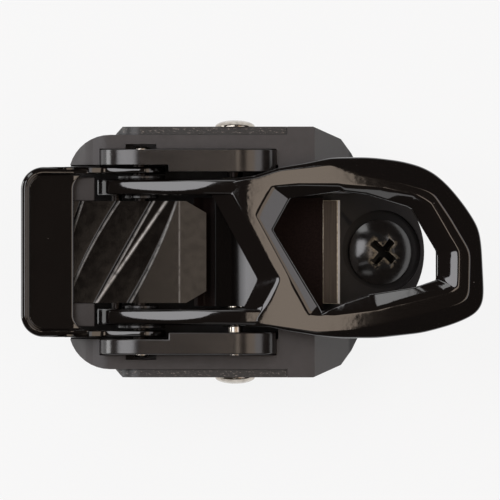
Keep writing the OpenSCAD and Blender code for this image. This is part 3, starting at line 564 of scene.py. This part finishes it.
def scoop(n_along=120, n_across=241):
    """Paddle: rows across y, each a section round its top and underside. The plan is a rectangle with round
    outer corners and a hollow round at each arm; the top is a slope plus a rim that falls to it inward, and
    both faces roll over into the edge."""
    y = HALF * np.sin(np.linspace(-1, 1, n_across) * np.pi / 2)[:, None]
    bend = np.clip(np.abs(y) - (HALF - CORNER), 0, CORNER)
    left = LIP_X + CORNER - np.sqrt(CORNER**2 - bend**2)
    right = PADDLE_X + HOLLOW_R - np.sqrt(HOLLOW_R**2 - np.clip(np.abs(y) - HOLLOW_Y, 0, HOLLOW_R) ** 2)
    u = np.linspace(0, 1, n_along)[None] ** 1.8
    x = left + (right - left) * u
    ax, ay = (LIP_X + CORNER) - x, np.abs(y) - (HALF - CORNER)
    inset = CORNER - np.hypot(np.maximum(ax, 0), np.maximum(ay, 0)) - np.minimum(np.maximum(ax, ay), 0)
    floor = np.interp(x, [-45.1, -34.6, -31], [7.25, 5.9, 5.7])
    crest = np.interp(x, [-45.1, -44.0, -42, -36.6, -34.6, -31], [9.6, 9.35, 8.5, 7.0, 6.5, 6.0])
    fade = np.clip((inset - ROLL) / 0.6, 0, 1)
    roll = np.interp(inset, [0, 0.05, 0.15, 0.3, 0.7, 0.9, ROLL], [1.0, 0.75, 0.6, 0.45, 0.13, 0.05, 0])
    brim = BRIM - np.sqrt(np.maximum(BRIM**2 - np.clip(BRIM - (right - x), 0, BRIM) ** 2, 0))
    top = floor + (crest - floor) * (1 - fade**2 * (3 - 2 * fade)) - roll - brim
    belly = BELLY + BELLY_LIFT * np.clip(1 - inset / BELLY_RUN, 0, 1) ** 2 + 0.4 * roll + brim
    y = np.broadcast_to(y, x.shape)
    upper, lower = np.stack([x, y, axle_z + top], 2), np.stack([x, y, axle_z + belly], 2)
    return np.concatenate([upper, lower[:, ::-1]], 1)


# arms: from the paddle down to a dip and round the hub on the front axle
quarter = np.linspace(-0.05, 1, 40) * np.pi / 2
x = np.concatenate([np.linspace(-36.6, -22, 60), front_x + HUB_R * np.sin(quarter)])
off = x - front_x
hub = np.sqrt(np.clip(HUB_R**2 - off**2, 0, None))
dip = curve(x, 0.7, (-36.6, 6.7), (-34.6, 6.2), (-31.5, 4.4), (-29, 3.7), (-27.5, 3.75), (-24.5, 4.45),
    (-21, 4.8))
high = axle_z + np.where(off < 0, dip, np.minimum(hub, HUB_TOP))
root = np.interp(x, [-36.6, -34.6, front_x], [4.4, 1.6, -2.6])
low = axle_z + np.where(off < 0, np.minimum(root, -hub * (off > HUB_FROM)), -hub)
arm = bar(x, low, high + PROUD, TRIGGER_IN, TRIGGER_OUT, TRIGGER_NOSE, TRIGGER_BULGE)
seat(fuse("trigger_casting", (scoop(), False), (arm, False), (arm * [1, -1, 1], False)),
    enamel, "trigger", "trigger_paddle")

# Release tongue: the fluted leaf under the paddle whose tip presses the pawl's tail when the trigger lifts.
# It is cast in the same black, buffed to a satin; light lines are painted on its ridges as highlights.
TONGUE_HALF, ROOT_X, TIP_X = 9.9, -38.4, rear_x - 5.6
CREASE_X, TIP_CUT, FIRST_RIDGE = -14.0, (3.9, 2.3), 6.0
FLUTE_SLOPE, FLUTE_EASE, RISER_SLOPE = 0.12, 0.14, 0.8
LEDGE_X, LEDGE_Y, LEDGE_Z, LEDGE_EDGE = front_x - 9.0, (TONGUE_HALF + 0.05, 14.5), (2.7, 4.15), 0.25
HIGHLIGHT_SHIFT, HIGHLIGHT_Z = 0.12, 3.0


def ridges(y):
    """The five slanted ridges of the leaf: x of each at y, straight or slightly bowed lines."""
    return np.stack([-36.0 + 0.33 * y, -31.65 + 0.52 * y + 0.0085 * y**2, -24.52 + 0.564 * y, -23.35 + 0.69 * y,
        -18.42 + 0.455 * y - 0.0065 * y**2])


def leaf(n_along=420, n_across=101):
    """Leaf: rows along x, each a section over the fluted top and back under it. Right of each ridge the top
    falls away by a slope, ever gentler, and climbs back over a short riser to the next ridge."""
    x = np.linspace(ROOT_X, TIP_X, n_along)[:, None]
    half = np.interp(x, [TIP_X - TIP_CUT[0], TIP_X], [TONGUE_HALF, TONGUE_HALF - TIP_CUT[1]])
    y = half * np.linspace(-1, 1, n_across)[None]
    x = np.broadcast_to(x, y.shape)
    top = np.interp(x, [ROOT_X, -22, CREASE_X, -8.9], [4.4, 4.22, 3.98, 3.77])
    low = np.interp(x, [ROOT_X, -30, -25.6, -21.6, -14, -8.9], [2.7, 2.7, 2.8, 2.6, 2.2, 1.5])
    line = np.concatenate([ridges(y)[:1] - FIRST_RIDGE, ridges(y)])
    wide = line[1:] - line[:-1]
    d = np.clip(x - line[:-1], 0, None)
    slope = FLUTE_SLOPE * d * (1 - FLUTE_EASE * d / wide)
    flute = np.minimum(slope, RISER_SLOPE * np.clip(wide - d, 0, None))
    hollow = np.where((d > 0) & (d < wide), flute, 0).sum(0)
    upper = np.stack([x, y, axle_z + top - hollow], 2)
    lower = np.stack([x, y, axle_z + low], 2)
    return np.concatenate([upper, lower[:, ::-1]], 1)


def block(x0, x1, y0, y1, z0, z1, edge, n=5):
    """Flat block as rows along x: a rectangle with rounded corners, drawn in at both ends."""
    a = np.linspace(0, 1, n)
    x = np.concatenate([x0 + edge * (1 - np.cos(a * np.pi / 2)),
        x1 - edge * (1 - np.cos(a[::-1] * np.pi / 2))])
    draw = edge * np.concatenate([1 - np.sin(a * np.pi / 2), 1 - np.sin(a[::-1] * np.pi / 2)])
    draw = draw[:, None]
    y = np.concatenate([y0 + draw, y1 - draw, y1 - draw, y0 + draw], 1)
    z = np.concatenate([z0 + draw, z0 + draw, z1 - draw, z1 - draw], 1)
    return rounded(np.stack([np.broadcast_to(x[:, None], y.shape), y, z], 2), [edge] * 4)


# Buffed black zinc: dark satin leaf with thin light lines painted on its ridges as highlights, and duller grey
# shoulders.
# The strokes of the buff are drawn coarser than the real ones.
buffed, tree, skin, place = material("buffed_black_zinc")
strokes = add(tree, "Mapping", {"Vector": place, "Rotation": (0, 0, math.radians(60)),
    "Scale": (1 / (5 * MM), 1 / (0.15 * MM), 1 / (5 * MM))})
hair = add(tree, "TexNoise", {"Vector": strokes.outputs["Vector"], "Scale": 1.0, "Detail": 4.0})
cloud = add(tree, "TexNoise", {"Vector": place, "Scale": 1 / (1.6 * MM), "Detail": 4.0})
# the light lines on the ridges are painted highlights
painted_highlight = add(tree, "Attribute", attribute_name="painted_highlight")
patch = add(tree, "MapRange", {"Value": cloud.outputs["Fac"], "From Min": 0.25, "From Max": 0.5})
ridge_highlight = add(tree, "Math", {0: painted_highlight.outputs["Fac"], 1: patch.outputs["Result"]}, operation="MULTIPLY")
tone = add(tree, "Mix", {"Factor": ridge_highlight.outputs["Value"], "A": "#0f0c0b", "B": "#b4b0ac"}, data_type="RGBA")
side = add(tree, "VectorMath", {0: place}, operation="ABSOLUTE")
side = add(tree, "SeparateXYZ", {"Vector": side.outputs["Vector"]})
shoulder = add(tree, "Math", {0: side.outputs["Y"], 1: (TONGUE_HALF + 0.02) * MM}, operation="GREATER_THAN")
tone = add(tree, "Mix", {"Factor": shoulder.outputs["Value"], "A": tone.outputs["Result"], "B": "#3b3838"},
    data_type="RGBA")
haze = add(tree, "MapRange", {"Value": cloud.outputs["Fac"], "From Min": 0.35, "From Max": 0.65, "To Min": 0.11,
    "To Max": 0.17})
rough = add(tree, "MapRange", {"Value": shoulder.outputs["Value"], "To Min": haze.outputs["Result"],
    "To Max": 0.5})
bump = add(tree, "Bump", {"Height": hair.outputs["Fac"], "Strength": 0.4, "Distance": 0.008 * MM})
feed(tree, skin, {"Base Color": tone.outputs["Result"], "Roughness": rough.outputs["Result"],
    "Normal": bump.outputs["Normal"], "IOR": 1.42})
ledge = block(ROOT_X, LEDGE_X, *LEDGE_Y, axle_z + LEDGE_Z[0], axle_z + LEDGE_Z[1], LEDGE_EDGE)
tongue = fuse("tongue_leaf", (leaf(), False), (ledge, False), (ledge * [1, -1, 1], False))
# painted highlight: a bell across each ridge, its strength and its width given ridge by ridge
points = np.empty((len(tongue.vertices), 3))
tongue.vertices.foreach_get("co", points.ravel())
points /= MM
crest = np.concatenate([ridges(points[:, 1]), [np.full(len(points), CREASE_X)]])
strength = np.array([0.45, 0.5, 0.6, 1.0, 0.4, 0.4])[:, None]
spread = np.array([0.12, 0.14, 0.14, 0.2, 0.14, 0.1])[:, None]
shine = (strength * np.exp(-0.5 * ((points[:, 0] - crest + HIGHLIGHT_SHIFT) / spread) ** 2)).max(0)
shine *= (points[:, 2] > axle_z + HIGHLIGHT_Z) & (np.abs(points[:, 1]) < TONGUE_HALF)
tongue.attributes.new("painted_highlight", "FLOAT", "POINT").data.foreach_set("value", shine)
seat(tongue, buffed, "trigger", "release_tongue")

# Holding pawl: the rocking barrel and plate on the rear axle, with its bush and the tooth bar on its end.
# The pawl is cast steel, phosphated black, the bush bronze and the tooth bar a strip of ground steel.
# Black phosphate: a dull plate, and a cap and ramp painted near black as shade, dull on the left and mirroring
# the lamps more and more towards the ramp; its fine crystals are drawn coarser than real.
PAWL_HALF, BARREL_R = 10.55, 3.4
DULL_Z, RAISED_Z, DULL_X, RAMP_X = axle_z + 1, axle_z + 3, rear_x - 0.4, rear_x + 2.2
phosphate, tree, skin, place = material("black_phosphate_steel")
sand = add(tree, "TexNoise", {"Vector": place, "Scale": 1 / (0.3 * MM), "Detail": 3.0})
tone = add(tree, "ValToRGB", {"Fac": sand.outputs["Fac"]}, stops=[(0.3, "#1b1413"), (0.7, "#251c1a")])
rough = add(tree, "MapRange", {"Value": sand.outputs["Fac"], "To Min": 0.1, "To Max": 0.15})
bump = add(tree, "Bump", {"Height": sand.outputs["Fac"], "Strength": 0.4, "Distance": 0.006 * MM})
# the cap and ramp above the axle are painted near black as shade
height = add(tree, "SeparateXYZ", {"Vector": place})
raised = add(tree, "MapRange", {"Value": height.outputs["Z"], "From Min": DULL_Z * MM,
    "From Max": RAISED_Z * MM})
reflection_ramp = add(tree, "MapRange", {"Value": height.outputs["X"], "From Min": DULL_X * MM,
    "From Max": RAMP_X * MM, "To Min": 0.06, "To Max": 0.5})
gleam = add(tree, "MapRange", {"Value": raised.outputs["Result"], "To Min": 0.03,
    "To Max": reflection_ramp.outputs["Result"]})
tone = add(tree, "Mix", {"Factor": raised.outputs["Result"], "A": tone.outputs["Color"], "B": "#080606"},
    data_type="RGBA")
feed(tree, skin, {"Base Color": tone.outputs["Result"], "Roughness": rough.outputs["Result"],
    "Normal": bump.outputs["Normal"], "IOR": 1.7, "Specular IOR Level": gleam.outputs["Result"]})
# side view about the rear axle, clockwise from the cap: ramp, plate, underside and the tail under the tongue
profile = np.array([[-3.9, 3.4], [1.2, 3.4], [4.6, 4.4], [6.4, -1.3], [17.1, -2.7], [17.1, -5], [2, -3.4],
    [-3.6, -1.9], [-8.1, -1.2], [-8.1, 1.5], [-7.1, 1], [-6.2, 0.2], [-3.9, -0.1]]) + [rear_x, axle_z]
corners = np.stack([np.insert(profile, 1, y, axis=1) for y in (-PAWL_HALF, PAWL_HALF)])
prism = rounded(corners, [0.2, 2.0, 0.2, 0.5, 0.1, 0.1, 0.4, 0.4, 0.2, 0.2, 0.3, 0.3, 0.3], 9)
barrel = lathe(np.array([-PAWL_HALF, PAWL_HALF]), np.array([BARREL_R, BARREL_R]))
casting = fuse("holding_pawl_casting", (prism, False), (barrel, False))
pawl = seat(casting, phosphate, "holding_pawl", "holding_pawl")
pawl.modifiers.new("flat_faces_stay_flat", "WEIGHTED_NORMAL").keep_sharp = True
# Sintered bronze: dull yellow-brown with fine pores, seen only at the ends of the bush.
bronze, tree, skin, place = material("sintered_bronze")
pores = add(tree, "TexNoise", {"Vector": place, "Scale": 1 / (0.3 * MM), "Detail": 4.0})
tone = add(tree, "ValToRGB", {"Fac": pores.outputs["Fac"]}, stops=[(0.3, "#7a6544"), (0.7, "#a88c60")])
rough = add(tree, "MapRange", {"Value": pores.outputs["Fac"], "To Min": 0.35, "To Max": 0.5})
feed(tree, skin, {"Base Color": tone.outputs["Color"], "Metallic": 1.0, "Roughness": rough.outputs["Result"]})
eased("pawl_bush", 0.12, bronze, "holding_pawl")
# Ground steel: dark with lines along the bar, drawn coarser than real, and a light line painted on the strap's
# side as a highlight.
EDGE_HIGHLIGHT_X = rear_x + 20.0
ground, tree, skin, place = material("ground_black_steel")
along = add(tree, "Mapping", {"Vector": place, "Scale": (1 / (0.2 * MM), 1 / (8 * MM), 1 / (0.2 * MM))})
hair = add(tree, "TexNoise", {"Vector": along.outputs["Vector"], "Scale": 1.0, "Detail": 4.0})
tone = add(tree, "ValToRGB", {"Fac": hair.outputs["Fac"]}, stops=[(0.3, "#332d2a"), (0.7, "#474039")])
rough = add(tree, "MapRange", {"Value": hair.outputs["Fac"], "To Min": 0.25, "To Max": 0.4})
bump = add(tree, "Bump", {"Height": hair.outputs["Fac"], "Strength": 0.4, "Distance": 0.01 * MM})
# the strap's side is painted light as an edge highlight
forth = add(tree, "SeparateXYZ", {"Vector": place})
edge_highlight = add(tree, "MapRange", {"Value": forth.outputs["X"], "From Min": (EDGE_HIGHLIGHT_X - 0.05) * MM,
    "From Max": (EDGE_HIGHLIGHT_X + 0.1) * MM})
tone = add(tree, "Mix", {"Factor": edge_highlight.outputs["Result"], "A": tone.outputs["Color"], "B": "#c2bebb"},
    data_type="RGBA")
dull = add(tree, "MapRange", {"Value": edge_highlight.outputs["Result"], "To Min": 0.6, "To Max": 0.0})
feed(tree, skin, {"Base Color": tone.outputs["Result"], "Metallic": dull.outputs["Result"],
    "Roughness": rough.outputs["Result"], "Normal": bump.outputs["Normal"]})
# the tooth bar's rounded edges take the worn steel, which paints light lines along them as highlights
eased("tooth_bar", 0.12, ground, "holding_pawl", wear_and_edge_highlight=wear_and_edge_highlight)

# Studio: a sheet of pale paper under the buckle and soft lamps over it, with dark walls between them.
# A warm card hangs right above; a high and a low box stand on the left and on the right, one far and one near.
# Pale paper: keeps the soft shadow, and looks nearly white to the camera and in mirrors.
GLOW_SHARE, PAPER_HALF = 0.9, 3
paper, tree, skin, place = material("pale_paper")
tree.nodes.remove(skin)
fibre = add(tree, "TexNoise", {"Vector": place, "Scale": 1 / (0.6 * MM), "Detail": 3.0})
tone = add(tree, "ValToRGB", {"Fac": fibre.outputs["Fac"]}, stops=[(0.2, "#ededed"), (0.8, "#efefef")])
sheet = add(tree, "BsdfDiffuse", {"Color": tone.outputs["Color"]})
glow = add(tree, "Emission", {"Color": "#fbfbfb", "Strength": 1.0})
rays = add(tree, "LightPath")
seen = add(tree, "Math", {0: rays.outputs["Is Camera Ray"], 1: rays.outputs["Is Glossy Ray"]},
    operation="MAXIMUM")
seen = add(tree, "Math", {0: seen.outputs["Value"], 1: rays.outputs["Is Transmission Ray"]},
    operation="MAXIMUM")
share = add(tree, "Math", {0: seen.outputs["Value"], 1: GLOW_SHARE}, operation="MULTIPLY")
both = add(tree, "MixShader", {0: share.outputs["Value"], 1: sheet.outputs["BSDF"],
    2: glow.outputs["Emission"]})
feed(tree, tree.nodes["Material Output"], {"Surface": both.outputs["Shader"]})
mesh = bpy.data.meshes.new("paper_floor")
square = np.array([(-1, -1, 0), (1, -1, 0), (1, 1, 0), (-1, 1, 0)]) * PAPER_HALF
mesh.from_pydata(square.tolist(), [], [(0, 1, 2, 3)])
mesh.materials.append(paper)
floor = bpy.data.objects.new("paper_floor", mesh)
bpy.context.collection.objects.link(floor)

# the walls are dim in mirrors and pale behind the buckle
world = bpy.data.worlds.new("studio_walls")
bpy.context.scene.world = world
world.use_nodes = True
tree = world.node_tree
way = add(tree, "SeparateXYZ", {"Vector": add(tree, "TexCoord").outputs["Generated"]})
walls = add(tree, "ValToRGB", {"Fac": way.outputs["Z"]}, stops=[(0.0, "#3a3634"), (1.0, "#453f3a")])
rays = add(tree, "LightPath")
tint = add(tree, "Mix", {"Factor": rays.outputs["Is Camera Ray"], "A": walls.outputs["Color"], "B": "#f6f6f6"},
    data_type="RGBA")
feed(tree, tree.nodes["Background"], {"Color": tint.outputs["Result"], "Strength": 1.0})


def lamp(name, at, width, height, radiance, tone, shape="RECTANGLE"):
    """Soft box facing the buckle: its power is its radiance times pi times width times height. It looks straight
    down, tips by the angle between its aim and the vertical and then turns about the vertical."""
    light = bpy.data.lights.new(name, "AREA")
    light.shape, light.size, light.size_y = shape, width, height
    light.energy, light.color = radiance * math.pi * width * height, linear(tone)[:3]
    obj = bpy.data.objects.new(name, light)
    bpy.context.collection.objects.link(obj)
    obj.location = at
    aim = np.array([0, 0, 0.02]) - at
    obj.rotation_mode = "XYZ"
    obj.rotation_euler = (0, math.acos(-aim[2] / np.linalg.norm(aim)), math.atan2(-aim[1], -aim[0]))
    obj.visible_camera = False


# each lamp's place, width and height in metres, its radiance and its tint
lamp("card_above", np.array([0.091, 0, 1.1]), 0.118, 0.5, 2.0, "#ffead6")
lamp("box_left", np.array([-0.58, 0.285, 1.08]), 0.985, 1.09, 2.5, "#fdfcff", "ELLIPSE")
lamp("box_left_low", np.array([-1.18, 0.16, 0.25]), 0.38, 0.9, 4.0, "#ffffff")
lamp("box_right", np.array([0.582, 0.03, 1.07]), 0.38, 1.3, 1.4, "#ffe9d4")
lamp("box_right_low", np.array([0.885, 0.03, 0.83]), 0.4, 1.3, 1.4, "#f8f4f6")
lamp("box_far", np.array([-0.226, 0.94, 0.722]), 0.55, 0.4, 2.0, "#ffffff")
lamp("box_near", np.array([-0.028, -0.8, 0.8]), 0.16, 0.34, 0.9, "#ffffff")

# Camera: straight above the buckle, far enough that upright walls stay out of sight as in the photograph.
# Its lens follows from the photograph's scale, taken at a height between the axles and the lever's top.
PX_PER_MM, PICTURE_PX, CENTRE_PX, ORIGIN_PX = 5.144, 500, (250, 250), (252, 252)
SENSOR, AWAY, SCALE_Z, CLIP_END = 36, 1.5, axle_z + 4, 20
cam = bpy.data.cameras.new("camera_above")
cam.sensor_width = SENSOR
cam.lens = SENSOR * AWAY / (PICTURE_PX / PX_PER_MM * MM)
cam.clip_end = CLIP_END
camera = bpy.data.objects.new("camera_above", cam)
bpy.context.collection.objects.link(camera)
camera.location = ((CENTRE_PX[0] - ORIGIN_PX[0]) / PX_PER_MM * MM,
    (ORIGIN_PX[1] - CENTRE_PX[1]) / PX_PER_MM * MM, SCALE_Z * MM + AWAY)
bpy.context.scene.camera = camera
bpy.context.scene.view_settings.view_transform = "Standard"
